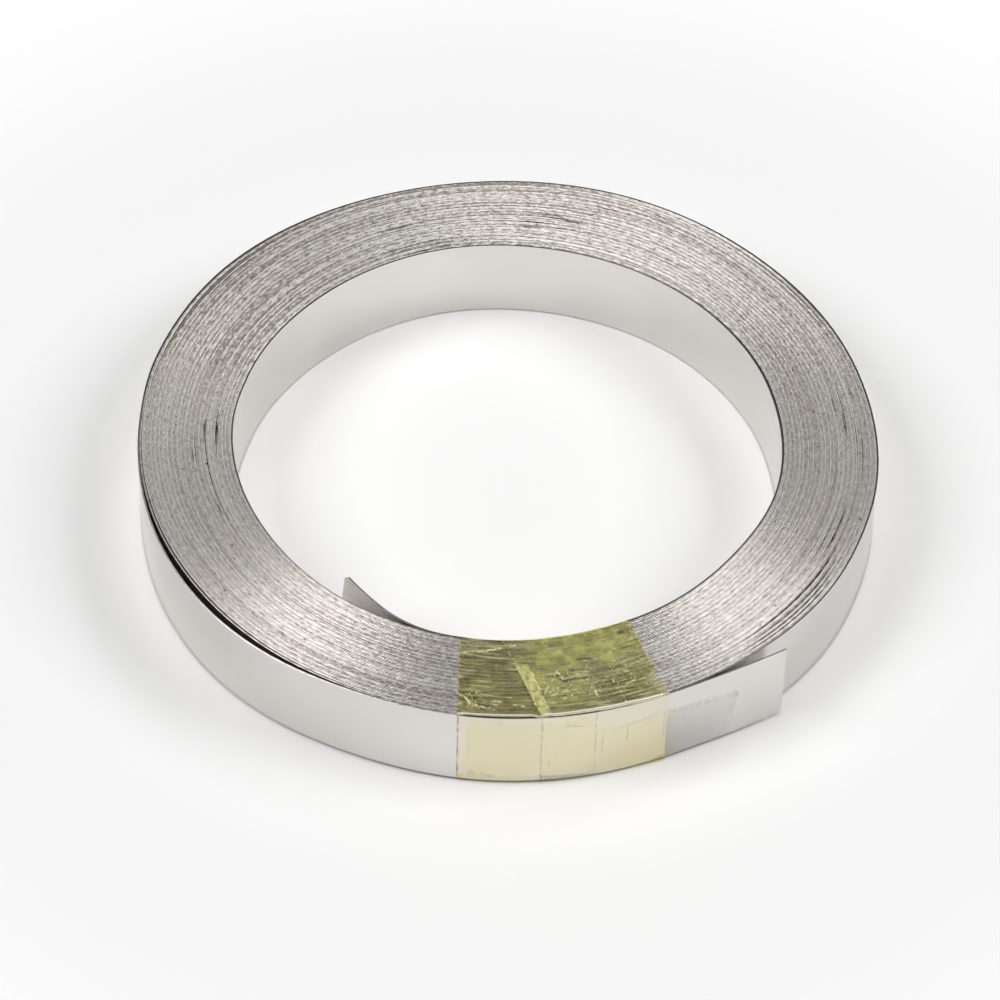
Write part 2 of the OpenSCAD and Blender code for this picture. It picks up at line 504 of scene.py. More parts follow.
# Dark dashes on some turns: partly torn edge, partly painted shade of the gaps and sunken turns.
dashed_turns = add(tree, "ShaderNodeMapRange", From_Min=0.5, From_Max=0.58, To_Max=0.9,
                 links={"Value": tone.outputs["Fac"]})
torn = add(tree, "ShaderNodeMapRange", From_Min=0.26, From_Max=0.33, To_Max=0.0,
           links={"Value": dashes.outputs["Fac"], "To Min": dashed_turns.outputs[0]})
dashed = add(tree, "ShaderNodeMix", data_type="RGBA",
             links={"Factor": torn.outputs[0], "A": shade.outputs["Result"]})
dashed.inputs["B"].default_value = linear("#453F3B")
# The slit edge is black along the first and the last turn, up to the slack in the last one, and along the
# outer end. Lengths are from the first turn, or back from the place where the outer end lifts off.
first_black_fades, first_black_ends = 120 * mm, 150 * mm
last_black_starts, last_black_full = 220 * mm, 190 * mm
last_black_fades, last_black_ends = 70 * mm, 50 * mm
end_black_starts, end_black_full = 4 * mm, -1 * mm
first_turn = add(tree, "ShaderNodeMapRange", From_Min=first_black_fades, From_Max=first_black_ends,
                 To_Min=0.85, To_Max=0.0, links={"Value": along.outputs["Fac"]})
last_turn = add(tree, "ShaderNodeMapRange", From_Min=wound_length - last_black_starts,
                From_Max=wound_length - last_black_full, To_Max=0.9, links={"Value": along.outputs["Fac"]})
before_slack = add(tree, "ShaderNodeMapRange", From_Min=wound_length - last_black_fades,
                   From_Max=wound_length - last_black_ends, To_Max=0.0,
                   links={"Value": along.outputs["Fac"], "To Min": last_turn.outputs[0]})
outer_end = add(tree, "ShaderNodeMapRange", From_Min=wound_length - end_black_starts,
                From_Max=wound_length - end_black_full, To_Max=0.6, links={"Value": along.outputs["Fac"]})
both_turns = add(tree, "ShaderNodeMath", operation="MAXIMUM",
                 links={0: first_turn.outputs[0], 1: before_slack.outputs[0]})
rims_and_end_black = add(tree, "ShaderNodeMath", operation="MAXIMUM",
              links={0: both_turns.outputs[0], 1: outer_end.outputs[0]})
# The listed black marks are partly torn edge and partly painted shade beside the slack gaps.
black_mark_share = add(tree, "ShaderNodeAttribute", attribute_name="torn")
frayed = add(tree, "ShaderNodeMapRange", From_Min=0.4, From_Max=0.65, To_Min=1.0, To_Max=0.7,
             links={"Value": dashes.outputs["Fac"]})
black_marks = add(tree, "ShaderNodeMath", operation="MULTIPLY",
                  links={0: black_mark_share.outputs["Fac"], 1: frayed.outputs[0]})
blackened = add(tree, "ShaderNodeMath", operation="MAXIMUM",
                links={0: rims_and_end_black.outputs[0], 1: black_marks.outputs[0]})
with_black_marks = add(tree, "ShaderNodeMix", data_type="RGBA",
             links={"Factor": blackened.outputs[0], "A": dashed.outputs["Result"]})
with_black_marks.inputs["B"].default_value = linear("#26221F")
ripples = add(tree, "ShaderNodeTexNoise", noise_dimensions="1D", Scale=1 / ripple_length, Detail=2.0,
              links={"W": along.outputs["Fac"]})
rippled = add(tree, "ShaderNodeBump", Strength=1.0, Distance=ripple_depth,
              links={"Height": ripples.outputs["Fac"]})
surface = add(tree, "ShaderNodeBsdfPrincipled", Metallic=1.0, Roughness=0.33,
              links={"Base Color": with_black_marks.outputs["Result"], "Normal": rippled.outputs[0]})
tree.links.new(surface.outputs[0], output.inputs["Surface"])
strip_mesh.materials.append(slit)
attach(strip, "root")
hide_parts("strip_coil")


# Under tape
# A short length of clear polypropylene tape, wrapped right round the coil's section over the strip's
# inner end. Its glue has yellowed, and it is pinched into a fin along the coil's outer rim.
tape_low, tape_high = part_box("under_tape")
tape_direction = radians(-90)
film_top = strip_width + unevenness
# The film's outer side stands off the strip by its thickness, and clear of the table by a hair.
film_stand = 0.06 * mm
film_clear = 0.004 * mm
same_place = 0.001 * mm
fold_round = 0.1 * mm
fin_half_angle = radians(20)
# The run in which it climbs onto another film, and the width of a cut edge.
climb_run = 0.3 * mm
cut_edge = 0.05 * mm
# Where its lower fold stands off, the wall of the film is pushed out up to this height.
foot_rise = 1.6 * mm
# Glue dries in streaks that are much longer than they are wide.
streak_width = 0.24 * mm
streak_stretch = 9
facet_spread = 7
film_steps_across = 132
flap_steps_along, flap_steps_up = 100, 60


def waver(x, y, size, seed):
    """Soft noise from -1 to 1 with humps of about a size."""
    return noise.noise(Vector((x / size, y / size, seed)))


def facet_level(x, y, size, seed):
    """A level of its own for each flat facet of about a size."""
    _, cells = noise.voronoi(Vector((x / size, y / size, seed)))
    return noise.cell(cells[0] * facet_spread)


def near_lines(x, y, lines):
    """How near a point lies to listed straight wrinkles: two ends, a width and a strength each."""
    nearest = 0
    for x0, y0, x1, y1, width, strength in lines:
        run = Vector((x1 - x0, y1 - y0))
        off = Vector((x / mm - x0, y / mm - y0))
        share = min(max(off.dot(run) / run.length_squared, 0), 1)
        nearest = max(nearest, strength * (1 - ramp(0.3 * width, width, (off - run * share).length)))
    return nearest


def in_spots(x, y, spots):
    """How deep a point lies in listed round spots: a middle, a radius and a strength each."""
    deepest = 0
    for middle_x, middle_y, radius, strength in spots:
        off = hypot(x / mm - middle_x, y / mm - middle_y)
        deepest = max(deepest, strength * (1 - ramp(0.4 * radius, radius, off)))
    return deepest


def outside_patch(x, y, patch):
    """Distance outside a rounded rectangle, negative inside it. Sizes are in mm."""
    left, bottom, right, top, corner = [value * mm for value in patch]
    off_x = max(left - x, x - right) + corner
    off_y = max(bottom - y, y - top) + corner
    return hypot(max(off_x, 0), max(off_y, 0)) + min(max(off_x, off_y), 0) - corner


# The corners of the coil's section, and the middle of its underside.
inner_bottom, inner_top, outer_top, outer_bottom, below = range(5)


def film_stations():
    """Steps round the coil's section: the two corners each lies between, its share of the way from one to
    the other, and where the film faces."""
    # The two corners of each run, the angles that the film faces at its start and end, and its steps.
    runs = [(below, inner_bottom, 270, 270, 10), (inner_bottom, inner_bottom, 270, 180, 4),
            (inner_bottom, inner_top, 180, 180, 24), (inner_top, inner_top, 180, 90, 8),
            (inner_top, outer_top, 90, 90, 112), (outer_top, outer_top, 90, 0, 24),
            (outer_top, outer_bottom, 0, 0, 76), (outer_bottom, outer_bottom, 0, -90, 4),
            (outer_bottom, below, -90, -90, 10)]
    stations = []
    for first, second, start, end, steps in runs:
        for i in range(steps):
            share = i / steps
            stations.append((first, second, share, radians(start + (end - start) * share)))
    return stations + [(outer_bottom, below, 1.0, radians(-90))]


stations = film_stations()
film_looks = ("yellow", "wet", "glue", "crumpled", "haze_and_highlight", "dirt_and_shade")


def lies_over(spot, tape):
    """How far a tape has climbed onto the one under it, and how much of it lies on that one."""
    if tape.over is None:
        return 0, 0
    low, high = tape.over
    climb = ramp(-climb_run, 0, spot.x - low) * ramp(-climb_run, 0, high - spot.x)
    over = ramp(0, cut_edge, spot.x - low) * ramp(0, cut_edge, high - spot.x)
    return climb, over


def bent(x, y, reach, size, seed):
    """A point moved aside by up to a reach, so that straight lines wander in bends of about a size."""
    return x + reach * waver(x, y, size, seed), y + reach * waver(x, y, size, seed + 1)


def creased(spot, tape):
    """How wrinkled a tape is on the upper end, and how near it is to pale and dark lines on the wall."""
    x, y = bent(spot.x, spot.y, 0.12 * mm, 0.5 * mm, tape.seed + 7)
    wrinkle = spot.on_top * near_lines(x, y, tape.wrinkles)
    wrinkle *= ramp(-0.3, 0.2, waver(spot.x, spot.y, 0.4 * mm, tape.seed + 9))
    across, rise = bent(spot.across, spot.rise, 0.1 * mm, 0.6 * mm, tape.seed + 10)
    pale = spot.on_wall * near_lines(across, rise, tape.wall_pale)
    dark = spot.on_wall * near_lines(across, rise, tape.wall_dark)
    return wrinkle, pale, dark


def glue_under(spot, tape):
    """How dry, how deep and how thick the glue is under a tape, in streaks that follow the turns."""
    arc = atan2(spot.y, spot.x) * spot.radius
    streak = waver(spot.radius, arc / streak_stretch, streak_width, tape.seed)
    patchy = ramp(-0.3, 0.3, waver(spot.radius, arc, 2.5 * mm, tape.seed + 1))
    dry = ramp(0.1, 0.4, streak) * patchy
    deep = ramp(0.1, 0.45, -streak) * spot.on_top
    thick = in_spots(spot.x, spot.y, tape.thick_glue)
    thick *= 0.85 + 0.4 * waver(spot.x, spot.y, 1.2 * mm, tape.seed + 2)
    return dry, deep, thick


def come_off(spot, tape):
    """How loose a tape lies on the outer wall, and how near it is to the rim of its stuck patch."""
    air = outside_patch(spot.across, spot.rise, tape.stuck)
    air += 0.35 * mm * waver(spot.across, spot.rise, 1.4 * mm, tape.seed + 3)
    air += 0.12 * mm * waver(spot.across, spot.rise, 0.4 * mm, tape.seed + 12)
    loose = ramp(0, 0.25 * mm, air) * spot.on_wall
    rim = (1 - ramp(0.03 * mm, 0.1 * mm, abs(air))) * spot.on_wall
    return loose, rim * ramp(-0.1, 0.3, waver(spot.across, spot.rise, 1.3 * mm, tape.seed + 4))


def film_edges(spot, tape):
    """A tape's folded border, and how dirty and how pale its two edges are."""
    from_low = spot.across - tape.low
    from_high = tape.high - spot.across
    border = ramp(0.05 * mm, 0.15 * mm, tape.border - from_low)
    border *= ramp(26.5 * mm, 27.5 * mm, spot.radius) * spot.on_top
    at_low = 1 - ramp(0.03 * mm, 0.13 * mm, from_low)
    at_high = 1 - ramp(0.03 * mm, 0.13 * mm, from_high)
    dashed = ramp(-0.2, 0.2, waver(spot.radius + spot.rise, 0, 0.5 * mm, tape.seed + 5))
    low_shows = max(spot.on_wall, 0.3 * ramp(tape.low_edge_from, tape.low_edge_from + mm, spot.radius))
    dirt_and_shade = dashed * max(tape.low_edge * at_low * low_shows, tape.high_edge * at_high * spot.on_wall)
    flecks = ramp(0.0, 0.35, waver(spot.x, spot.y, 0.35 * mm, tape.seed + 19))
    torn = 0.6 * tape.ragged * (1 - ramp(0.1 * mm, 0.7 * mm, from_high)) * flecks
    pale = spot.on_top * max(torn, tape.pale_edge * at_low * (1 - dashed))
    return border, dirt_and_shade, pale


def film_at(spot, tape):
    """Stand-off and looks of a tape at a point of the coil's section."""
    climb, over = lies_over(spot, tape)
    wrinkle, wall_pale, wall_dark = creased(spot, tape)
    dry, deep, thick = glue_under(spot, tape)
    loose, rim = come_off(spot, tape)
    border, edge_dirt, edge_pale = film_edges(spot, tape)
    top = spot.on_top
    crumpled = top * max(tape.crumpled_all, in_spots(spot.x, spot.y, tape.crumpled))
    dried = in_spots(spot.x, spot.y, tape.dried)
    facet = facet_level(spot.across, spot.radius + spot.rise, 0.8 * mm, tape.seed + 6)
    foot, = between(tape.foot, spot.across / mm)
    foot *= max(0, 1 - spot.rise / foot_rise) ** 2 * spot.faces_out
    stand = film_stand * (1 + climb)
    stand += mm * (0.06 * facet * crumpled + 0.05 * wrinkle + 0.05 * border + 0.03 * loose + foot)
    stand += mm * (0.05 * wall_pale - 0.02 * wall_dark)
    yellow = 0.7 - 0.35 * loose + 0.12 * spot.on_wall * in_spots(spot.across, spot.rise, tape.yellowest)
    wet = top * (1 - 0.7 * over) * (1 - 0.7 * dry) * (1 - 0.8 * dried) * (1 - 0.4 * border)
    border_pale = border * (0.5 + 0.35 * waver(spot.x, spot.y, 0.4 * mm, tape.seed + 18))
    # A near-white highlight is painted along the fin's crest.
    painted_fin_highlight = 0.95 * ramp(0.35, 0.5, spot.fin)
    # Under the fin a dark shadow is painted on the wall.
    pinch, = between(tape.pinched, spot.across / mm)
    painted_fin_shadow = pinch * spot.below_fin * (1 - ramp(0.3, 0.45, spot.fin))
    return stand, {
        "yellow": yellow * (1 - 0.9 * wall_pale) * (1 - 0.85 * over),
        "wet": wet * (0.9 + 0.3 * waver(spot.x, spot.y, 1.5 * mm, tape.seed + 13)),
        "glue": max(top * thick, 0.9 * border),
        "crumpled": crumpled,
        "haze_and_highlight": max(wrinkle, border_pale, 0.35 * dry * top, 0.12 * dried * top, painted_fin_highlight, edge_pale),
        "dirt_and_shade": max(edge_dirt, painted_fin_shadow, 0.45 * wall_dark, 0.06 * rim, 0.35 * deep * (1 - dried)),
    }


def lay_flap(bm, layers, tape):
    """The clear end of a tape that lies on the strip's outer end, with a wrinkled border. Lengths on it
    are in mm."""
    flap = tape.flap
    made = bmesh.ops.create_grid(bm, x_segments=flap_steps_along, y_segments=flap_steps_up, size=0.5)
    for v in made["verts"]:
        share, height = v.co.x + 0.5, v.co.y + 0.5
        ragged = 0.12 * waver(share, 0, 0.05, tape.seed + 15)
        top = flap.first_top + (flap.last_top - flap.first_top) * share + ragged
        rise = flap.bottom + (top - flap.bottom) * height
        reach = flap.reach - flap.slant * (1 - height) + 0.15 * waver(height, 0, 0.08, tape.seed + 16)
        past = flap.start + (reach - flap.start) * share
        at_top = 1 - ramp(0.04, 0.14, top - rise)
        at_end = (1 - ramp(0.1, 0.9, reach - past)) * ramp(2.0, 3.0, rise)
        flecks = ramp(-0.5, 0.3, waver(past, rise, 0.45, tape.seed + 17))
        below_top = ramp(0.12, 0.2, top - rise) * (1 - ramp(0.25, 0.35, top - rise))
        place, facing = strip_place(wound_length + past * mm)
        ridge = 0.05 * at_top * (0.5 + flecks) + 0.03 * at_end * flecks
        v.co = place + outwards(facing) * (strip_thickness + film_stand + ridge * mm)
        v.co.z = rise * mm + resting_lift(place.y)
        looks = {
            "yellow": 0.3 * (1 - ramp(0, 1.5, past - flap.start)),
            "haze_and_highlight": max(0.3 * at_top * flecks, 0.2 * at_end * flecks),
            # Darker towards where it leaves the coil and towards the bottom: painted shade of the shadowed
            # table mirrored in the end. A dark band also runs just under the top ridge.
            "dirt_and_shade": max(0.05 + 0.17 * (1 - share) * (1 - 0.7 * height), 0.22 * below_top * flecks),
        }
        for look, value in looks.items():
            v[layers[look]] = value
    faces = list({f for v in made["verts"] for f in v.link_faces})
    faces[0].normal_update()
    if faces[0].normal.dot(outwards(outer_lift)) < 0:
        bmesh.ops.reverse_faces(bm, faces=faces)


def film_spot(station, sideways, direction, tape):
    """The point of the coil's section at a step round it and a share of a tape's width."""
    first, second, share, facing = station
    torn = 0.5 * waver(share, 0, 0.17, tape.seed + 14) + 0.35 * waver(share, 0, 0.047, tape.seed + 15)
    spot = SimpleNamespace(facing=facing, across=tape.low + sideways * (tape.high - tape.low))
    spot.across += tape.ragged * torn * sideways ** 12 * max(0, sin(facing)) * mm
    inner, _ = rims(direction + asin(spot.across / bore_radius))
    _, outer = rims(direction + asin(spot.across / coil_radius))
    inner = sqrt(inner ** 2 - spot.across ** 2) + fold_round
    outer = sqrt(outer ** 2 - spot.across ** 2) - fold_round
    corners = [Vector((inner, fold_round)), Vector((inner, film_top - fold_round)),
               Vector((outer, film_top - fold_round)), Vector((outer, fold_round)),
               Vector(((inner + outer) / 2, fold_round))]
    spot.run, spot.rise = corners[first].lerp(corners[second], share)
    spot.x, spot.y = (outwards(direction) * spot.run + outwards(direction + pi / 2) * spot.across).xy
    spot.radius = hypot(spot.x, spot.y)
    spot.faces_out = max(0, cos(facing))
    spot.on_wall = spot.faces_out ** 2
    spot.on_top = max(0, sin(facing)) ** 2
    spot.fin, spot.below_fin = 0, 0
    spot.fin_length, fin_rise = between(tape.fins, spot.across / mm)
    if first == second == outer_top:
        past_fin = (facing - radians(fin_rise)) / fin_half_angle
        spot.fin = max(0, 1 - abs(past_fin)) ** 1.4
        spot.below_fin = ramp(-2.4, -1.7, past_fin) * ramp(0, 0.1, -past_fin)
    # Under the coil the film hangs down to the table.
    spot.lift = resting_lift(spot.y)
    if first == below:
        spot.lift *= share
    if second == below:
        spot.lift *= 1 - share
    return spot


def wrap_film(name, direction, tape):
    """A film right round the coil's section, in a straight lane beside a direction."""
    bm = bmesh.new()
    layers = {look: bm.verts.layers.float.new(look) for look in film_looks}
    last_station = len(stations) - 1
    bmesh.ops.create_grid(bm, x_segments=last_station, y_segments=film_steps_across, size=0.5)
    ahead = outwards(direction)
    beside = outwards(direction + pi / 2)
    for v in bm.verts:
        station = stations[round((v.co.x + 0.5) * last_station)]
        spot = film_spot(station, v.co.y + 0.5, direction, tape)
        stand, looks = film_at(spot, tape)
        out = fold_round + stand + spot.fin * spot.fin_length * mm
        v.co = ahead * (spot.run + cos(spot.facing) * out) + beside * spot.across
        v.co.z = max(film_clear, spot.rise + sin(spot.facing) * out + spot.lift)
        for look, value in looks.items():
            v[layers[look]] = min(max(value, 0), 1)
    bmesh.ops.remove_doubles(bm, verts=bm.verts[:], dist=same_place)
    bmesh.ops.recalc_face_normals(bm, faces=bm.faces[:])
    if tape.flap is not None:
        lay_flap(bm, layers, tape)
    for f in bm.faces:
        f.smooth = True
    mesh = bpy.data.meshes.new(name)
    bm.to_mesh(mesh)
    bm.free()
    mesh.materials.append(tape_clear)
    film = bpy.data.objects.new(name, mesh)
    bpy.context.collection.objects.link(film)
    solid = film.modifiers.new("film_thickness", "SOLIDIFY")
    solid.thickness = tape.thickness
    solid.offset = -1
    return film


# Yellowed clear tape: thin glossy film over glue that has gone the colour of weak tea. Where the glue
# wets the slit edges it looks deep olive, where it is thick it is a milky yellow-green, and the film's
# creases are pale. A near-white highlight is painted along each fin's crest, and a dark olive shadow is
# painted under each fin.
tape_clear, tree, output = new_material("yellowed_clear_tape")
look = {name: add(tree, "ShaderNodeAttribute", attribute_name=name).outputs["Fac"] for name in film_looks}
tinted = add(tree, "ShaderNodeMix", data_type="RGBA", links={"Factor": look["yellow"]})
tinted.inputs["A"].default_value = (1, 1, 1, 1)
tinted.inputs["B"].default_value = linear("#FDF9E0")
soaked = add(tree, "ShaderNodeMix", data_type="RGBA",
             links={"Factor": look["wet"], "A": tinted.outputs["Result"]})
soaked.inputs["B"].default_value = linear("#E1DEA8")
clear = add(tree, "ShaderNodeBsdfTransparent", links={"Color": soaked.outputs["Result"]})

facet_size = 0.6 * mm
crease_width = 0.035
crumple_depth = 0.05 * mm
place = add(tree, "ShaderNodeTexCoord")
facets = add(tree, "ShaderNodeTexVoronoi", feature="DISTANCE_TO_EDGE", Scale=1 / facet_size,
             links={"Vector": place.outputs["Object"]})
levels = add(tree, "ShaderNodeTexVoronoi", Scale=1 / facet_size, links={"Vector": place.outputs["Object"]})
level = add(tree, "ShaderNodeSeparateXYZ", links={0: levels.outputs["Color"]})
milky_facets = add(tree, "ShaderNodeMapRange", From_Min=0.5, From_Max=1.0, To_Max=0.22,
                   links={"Value": level.outputs["X"]})
creases = add(tree, "ShaderNodeMapRange", From_Max=crease_width, To_Min=1.0, To_Max=0.0,
              links={"Value": facets.outputs["Distance"]})
broken = add(tree, "ShaderNodeTexNoise", Scale=1 / facet_size, Detail=1.0,
             links={"Vector": place.outputs["Object"]})
kept = add(tree, "ShaderNodeMapRange", From_Min=0.42, From_Max=0.55, links={"Value": broken.outputs["Fac"]})
crease_lines = add(tree, "ShaderNodeMath", operation="MULTIPLY",
                   links={0: creases.outputs[0], 1: kept.outputs[0]})
crease_or_facet = add(tree, "ShaderNodeMath", operation="MAXIMUM",
                      links={0: crease_lines.outputs[0], 1: milky_facets.outputs[0]})
crease_cover = add(tree, "ShaderNodeMath", operation="MULTIPLY",
                   links={0: crease_or_facet.outputs[0], 1: look["crumpled"]})
ridge = add(tree, "ShaderNodeMath", operation="MULTIPLY", links={0: level.outputs["Y"], 1: look["crumpled"]})
rough_film = add(tree, "ShaderNodeBump", Strength=1.0, Distance=crumple_depth,
                 links={"Height": ridge.outputs[0]})
pale = add(tree, "ShaderNodeMath", operation="MAXIMUM", links={0: crease_cover.outputs[0], 1: look["haze_and_highlight"]})
blotch_size = 1.1 * mm
blotches = add(tree, "ShaderNodeTexNoise", Scale=1 / blotch_size, Detail=4.0, Roughness=0.55,
               links={"Vector": place.outputs["Object"]})
glue_depth = add(tree, "ShaderNodeMapRange", From_Min=0.3, From_Max=0.7, To_Min=0.4, To_Max=0.75,
                 links={"Value": blotches.outputs["Fac"]})
glue_tone = add(tree, "ShaderNodeMapRange", From_Min=0.35, From_Max=0.65,
                links={"Value": blotches.outputs["Fac"]})
glue_colour = add(tree, "ShaderNodeMix", data_type="RGBA", links={"Factor": glue_tone.outputs[0]})
glue_colour.inputs["A"].default_value = linear("#A19F4E")
glue_colour.inputs["B"].default_value = linear("#D6D47A")
glue_cover = add(tree, "ShaderNodeMath", operation="MULTIPLY",
                 links={0: look["glue"], 1: glue_depth.outputs[0]})
pale_or_glue = add(tree, "ShaderNodeMath", operation="MAXIMUM",
                   links={0: pale.outputs[0], 1: glue_cover.outputs[0]})
cover = add(tree, "ShaderNodeMath", operation="MAXIMUM", links={0: pale_or_glue.outputs[0], 1: look["dirt_and_shade"]})
paler = add(tree, "ShaderNodeMath", operation="SUBTRACT",
            links={0: pale.outputs[0], 1: glue_cover.outputs[0]})
is_pale = add(tree, "ShaderNodeMapRange", From_Min=-0.1, From_Max=0.0, links={"Value": paler.outputs[0]})
# The near-white colour is a painted highlight along the fins' crest, and it also pales the strongest
# creases.
pinched = add(tree, "ShaderNodeMapRange", From_Min=0.8, From_Max=0.95, links={"Value": look["haze_and_highlight"]})
pale_colour = add(tree, "ShaderNodeMix", data_type="RGBA", links={"Factor": pinched.outputs[0]})
pale_colour.inputs["A"].default_value = linear("#E4DF98")
pale_colour.inputs["B"].default_value = linear("#F6F4DC")
milky = add(tree, "ShaderNodeMix", data_type="RGBA",
            links={"Factor": is_pale.outputs[0], "A": glue_colour.outputs["Result"],
                   "B": pale_colour.outputs["Result"]})
# Dirt at the cut edges, dark lines on the wall and the painted shadow under the fins are dark olive.
dark_over_pale = add(tree, "ShaderNodeMath", operation="SUBTRACT",
              links={0: look["dirt_and_shade"], 1: pale_or_glue.outputs[0]})
is_dark = add(tree, "ShaderNodeMapRange", From_Min=-0.1, From_Max=0.0, links={"Value": dark_over_pale.outputs[0]})
dirty_and_shaded = add(tree, "ShaderNodeMix", data_type="RGBA",
            links={"Factor": is_dark.outputs[0], "A": milky.outputs["Result"]})
dirty_and_shaded.inputs["B"].default_value = linear("#3A3626")
scatter = add(tree, "ShaderNodeBsdfDiffuse",
              links={"Color": dirty_and_shaded.outputs["Result"], "Normal": rough_film.outputs[0]})
body = add(tree, "ShaderNodeMixShader",
           links={0: cover.outputs[0], 1: clear.outputs[0], 2: scatter.outputs[0]})
# Only the film's outer side mirrors, because its other side is wetted by the glue.
mirrors = add(tree, "ShaderNodeFresnel", IOR=1.47)
side = add(tree, "ShaderNodeNewGeometry")
outer_side = add(tree, "ShaderNodeMath", operation="SUBTRACT", links={1: side.outputs["Backfacing"]})
outer_side.inputs[0].default_value = 1.0
outer_gloss = add(tree, "ShaderNodeMath", operation="MULTIPLY",
                  links={0: mirrors.outputs[0], 1: outer_side.outputs[0]})
gloss = add(tree, "ShaderNodeBsdfAnisotropic", Color=(1, 1, 1, 1), Roughness=0.15,
            links={"Normal": rough_film.outputs[0]})
film_surface = add(tree, "ShaderNodeMixShader",
                   links={0: outer_gloss.outputs[0], 1: body.outputs[0], 2: gloss.outputs[0]})
tree.links.new(film_surface.outputs[0], output.inputs["Surface"])

# Listed places in mm. On the upper end they are from the coil's axis: spots have a middle, a radius
# and a strength, wrinkles have two ends, a width and a strength. On the outer wall they are across and up:
# the patch that has stuck down has its sides and corner radius, pale and dark lines are like wrinkles.
# Fins have a place across, a length, and a rise in degrees. The painted shadow under the fin has a place
# across and how dark it is there, and foot a place across and how far the lower fold stands off. A film is
# drawn thicker than it is, so that its inner side is hidden in the strip.
under = SimpleNamespace(
    low=tape_low.x, high=tape_high.x, thickness=0.12 * mm, over=None, seed=20, border=0, ragged=0, flap=None,
    low_edge=0.8, low_edge_from=0, high_edge=0.2, pale_edge=0.6, crumpled_all=0.1,
    crumpled=[(-2.3, -30.8, 1.7, 1.0), (-2.6, -25.4, 1.2, 0.6)],
    wrinkles=[(-3.0, -25.7, -1.0, -25.4, 0.13, 0.7), (-1.0, -25.4, 1.2, -24.8, 0.11, 0.9),
              (-3.2, -30.4, -2.3, -31.3, 0.2, 0.75), (-2.3, -31.3, -0.5, -31.8, 0.16, 0.75),
              (-3.3, -31.3, -2.7, -30.6, 0.14, 0.6), (-1.1, -30.9, 0.1, -31.0, 0.1, 0.7),
              (-1.0, -31.3, -0.2, -31.3, 0.1, 0.6), (1.1, -31.3, 2.0, -31.4, 0.1, 0.7),
              (0.6, -30.5, 1.6, -30.6, 0.09, 0.6), (1.2, -27.3, 2.2, -27.2, 0.09, 0.5)],
    dried=[(-2.0, -24.2, 1.8, 0.6)],
    thick_glue=[(3.0, -27.0, 3.0, 0.4)],
    stuck=(-2.6, 1.0, 9.5, 7.3, 1.0),
    yellowest=[],
    wall_pale=[(-2.4, 6.6, -1.1, 7.3, 0.1, 0.4), (2.1, 7.1, 2.9, 6.8, 0.1, 0.5),
               (-2.5, 0.7, 0.0, 0.45, 0.1, 0.5), (-2.65, 1.2, -2.7, 6.3, 0.1, 0.35)],
    wall_dark=[(-2.55, 0.8, -2.2, 1.1, 0.08, 0.6), (-2.2, 1.1, -1.9, 0.85, 0.08, 0.5),
               (-1.5, 0.95, -1.1, 0.75, 0.08, 0.6), (-1.1, 0.75, -0.5, 0.6, 0.07, 0.4),
               (0.0, 7.5, 0.25, 7.45, 0.07, 0.5), (-2.5, 3.6, -2.45, 4.4, 0.07, 0.2)],
    fins=[(-3.45, 0.25, 78), (-2.6, 0.5, 80), (0, 0.6, 80), (2.6, 0.55, 80), (3.3, 0.1, 78),
          (8.05, 0.05, 78)],
    pinched=[(-3.45, 0.3), (-2.5, 0.7), (-0.5, 0.95), (3.0, 0.95), (3.6, 0.0)],
    foot=[(-3.45, 0.05), (8.05, 0.05)])
under_tape = wrap_film("under_tape_film", tape_direction, under)
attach(under_tape, "root")
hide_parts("under_tape")


# Over tape
# A second length of the same tape, laid at an angle over the first to hold the strip's outer end.
# It climbs over the under tape, it is the more crumpled of the two, and its left border is folded over.
over_turn = radians(22.5)
over_middle = -4.3 * mm
tape_width = tape_high.x - tape_low.x
folded_border = 0.8 * mm
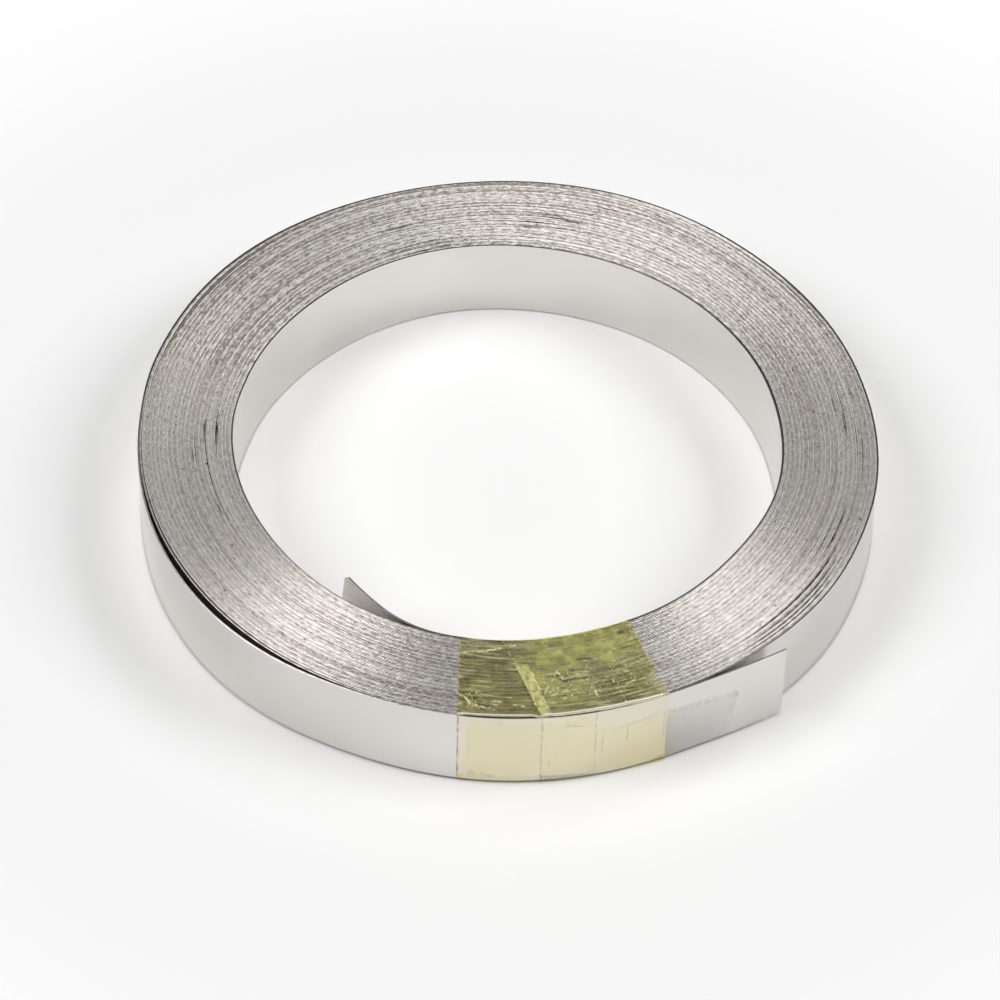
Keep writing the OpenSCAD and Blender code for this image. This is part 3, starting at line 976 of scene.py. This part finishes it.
# Its clear end lies on the strip's outer end. Lengths are in mm past the place where that end lifts off.
clear_end = SimpleNamespace(start=-0.75, reach=5.9, slant=0.8, bottom=0.12, first_top=5.9, last_top=5.1)
over = SimpleNamespace(
    low=over_middle - tape_width / 2 + folded_border, high=over_middle + tape_width / 2,
    thickness=0.18 * mm, over=(tape_low.x, tape_high.x), seed=40, border=1.05 * mm, ragged=0.7,
    flap=clear_end, low_edge=0.3, low_edge_from=26.8 * mm, high_edge=0, pale_edge=0.5, crumpled_all=0.35,
    crumpled=[(4.8, -29.0, 2.6, 1.0), (6.6, -28.4, 2.4, 1.0), (9.5, -27.5, 2.8, 0.8),
              (12.2, -25.6, 1.8, 0.9)],
    wrinkles=[(1.0, -27.4, 2.9, -31.3, 0.11, 0.8), (2.1, -26.6, 3.4, -30.0, 0.11, 0.8),
              (3.5, -30.3, 4.4, -28.2, 0.1, 0.8), (4.6, -27.6, 5.3, -28.5, 0.1, 0.8),
              (5.1, -28.5, 7.3, -27.3, 0.1, 0.7), (2.7, -29.1, 3.8, -29.8, 0.1, 0.7),
              (4.3, -30.1, 6.5, -29.3, 0.1, 0.7), (7.0, -27.3, 7.6, -25.0, 0.14, 0.35),
              (9.2, -28.2, 9.9, -29.8, 0.1, 0.7), (8.7, -25.8, 11.4, -24.6, 0.1, 0.5),
              (7.6, -29.3, 7.3, -28.6, 0.1, 0.7), (10.9, -22.6, 11.5, -24.0, 0.12, 0.5),
              (11.6, -24.3, 12.5, -26.2, 0.12, 0.6), (12.0, -28.6, 12.4, -27.6, 0.1, 0.6),
              (3.6, -28.8, 5.0, -29.4, 0.1, 0.8), (4.9, -30.6, 6.2, -30.0, 0.12, 0.8),
              (5.8, -28.9, 7.1, -28.2, 0.12, 0.8), (3.9, -30.9, 5.4, -31.0, 0.1, 0.6),
              (7.7, -29.3, 8.1, -30.2, 0.12, 0.8), (8.6, -25.5, 9.5, -24.8, 0.16, 0.6),
              (10.4, -28.6, 12.4, -27.6, 0.1, 0.7), (9.8, -29.2, 10.4, -30.6, 0.1, 0.8),
              (6.4, -26.4, 8.4, -25.9, 0.12, 0.5)],
    dried=[(13.6, -28.0, 1.9, 1.0), (1.2, -24.5, 1.2, 0.7)],
    thick_glue=[(4.8, -25.2, 3.6, 0.95), (8.2, -24.2, 3.4, 0.8), (5.0, -29.0, 3.6, 0.6),
                (10.2, -23.4, 2.0, 0.6)],
    stuck=(-8.9, 0.4, 2.5, 5.7, 0.6),
    yellowest=[(-0.6, 2.0, 2.6, 1.0)],
    wall_pale=[(-3.3, 5.5, -0.6, 5.9, 0.12, 0.7), (-0.6, 5.9, 1.4, 6.25, 0.12, 0.8),
               (-3.4, 6.0, -2.6, 5.8, 0.1, 0.5), (1.38, 2.4, 1.4, 6.25, 0.12, 0.8),
               (-6.3, 0.8, -4.9, 2.2, 0.12, 0.5), (-4.9, 2.2, -4.4, 3.0, 0.1, 0.4),
               (-7.6, 7.0, -6.2, 6.6, 0.12, 0.6), (-6.2, 6.6, -4.9, 6.4, 0.1, 0.6)],
    wall_dark=[(-3.3, 5.35, -0.6, 5.75, 0.08, 0.3), (-0.6, 5.75, 1.3, 6.1, 0.08, 0.35),
               (-2.05, 3.6, -2.0, 5.3, 0.08, 0.35), (-8.6, 1.9, -8.5, 2.4, 0.08, 0.35),
               (1.28, 2.5, 1.3, 6.1, 0.07, 0.4), (-7.4, 6.85, -6.0, 6.75, 0.07, 0.45),
               (-4.2, 2.8, -4.15, 4.6, 0.07, 0.3)],
    fins=[(-9.25, 0.1, 78), (-8.6, 0.3, 80), (-5.2, 0.35, 80), (-4.6, 0.45, 78), (-2.0, 0.5, 75),
          (0.0, 0.3, 72), (1.45, 0.08, 70)],
    pinched=[(-9.25, 0.0), (-8.3, 0.9), (-5.2, 0.9), (-4.6, 0.7), (-2.2, 0.5), (-1.6, 0.0), (1.45, 0.0)],
    foot=[(-9.25, 0.12), (-4.0, 0.06), (0.0, 0.12), (1.45, 0.28)])
over_tape = wrap_film("over_tape_film", tape_direction + over_turn, over)
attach(over_tape, "root")
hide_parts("over_tape")
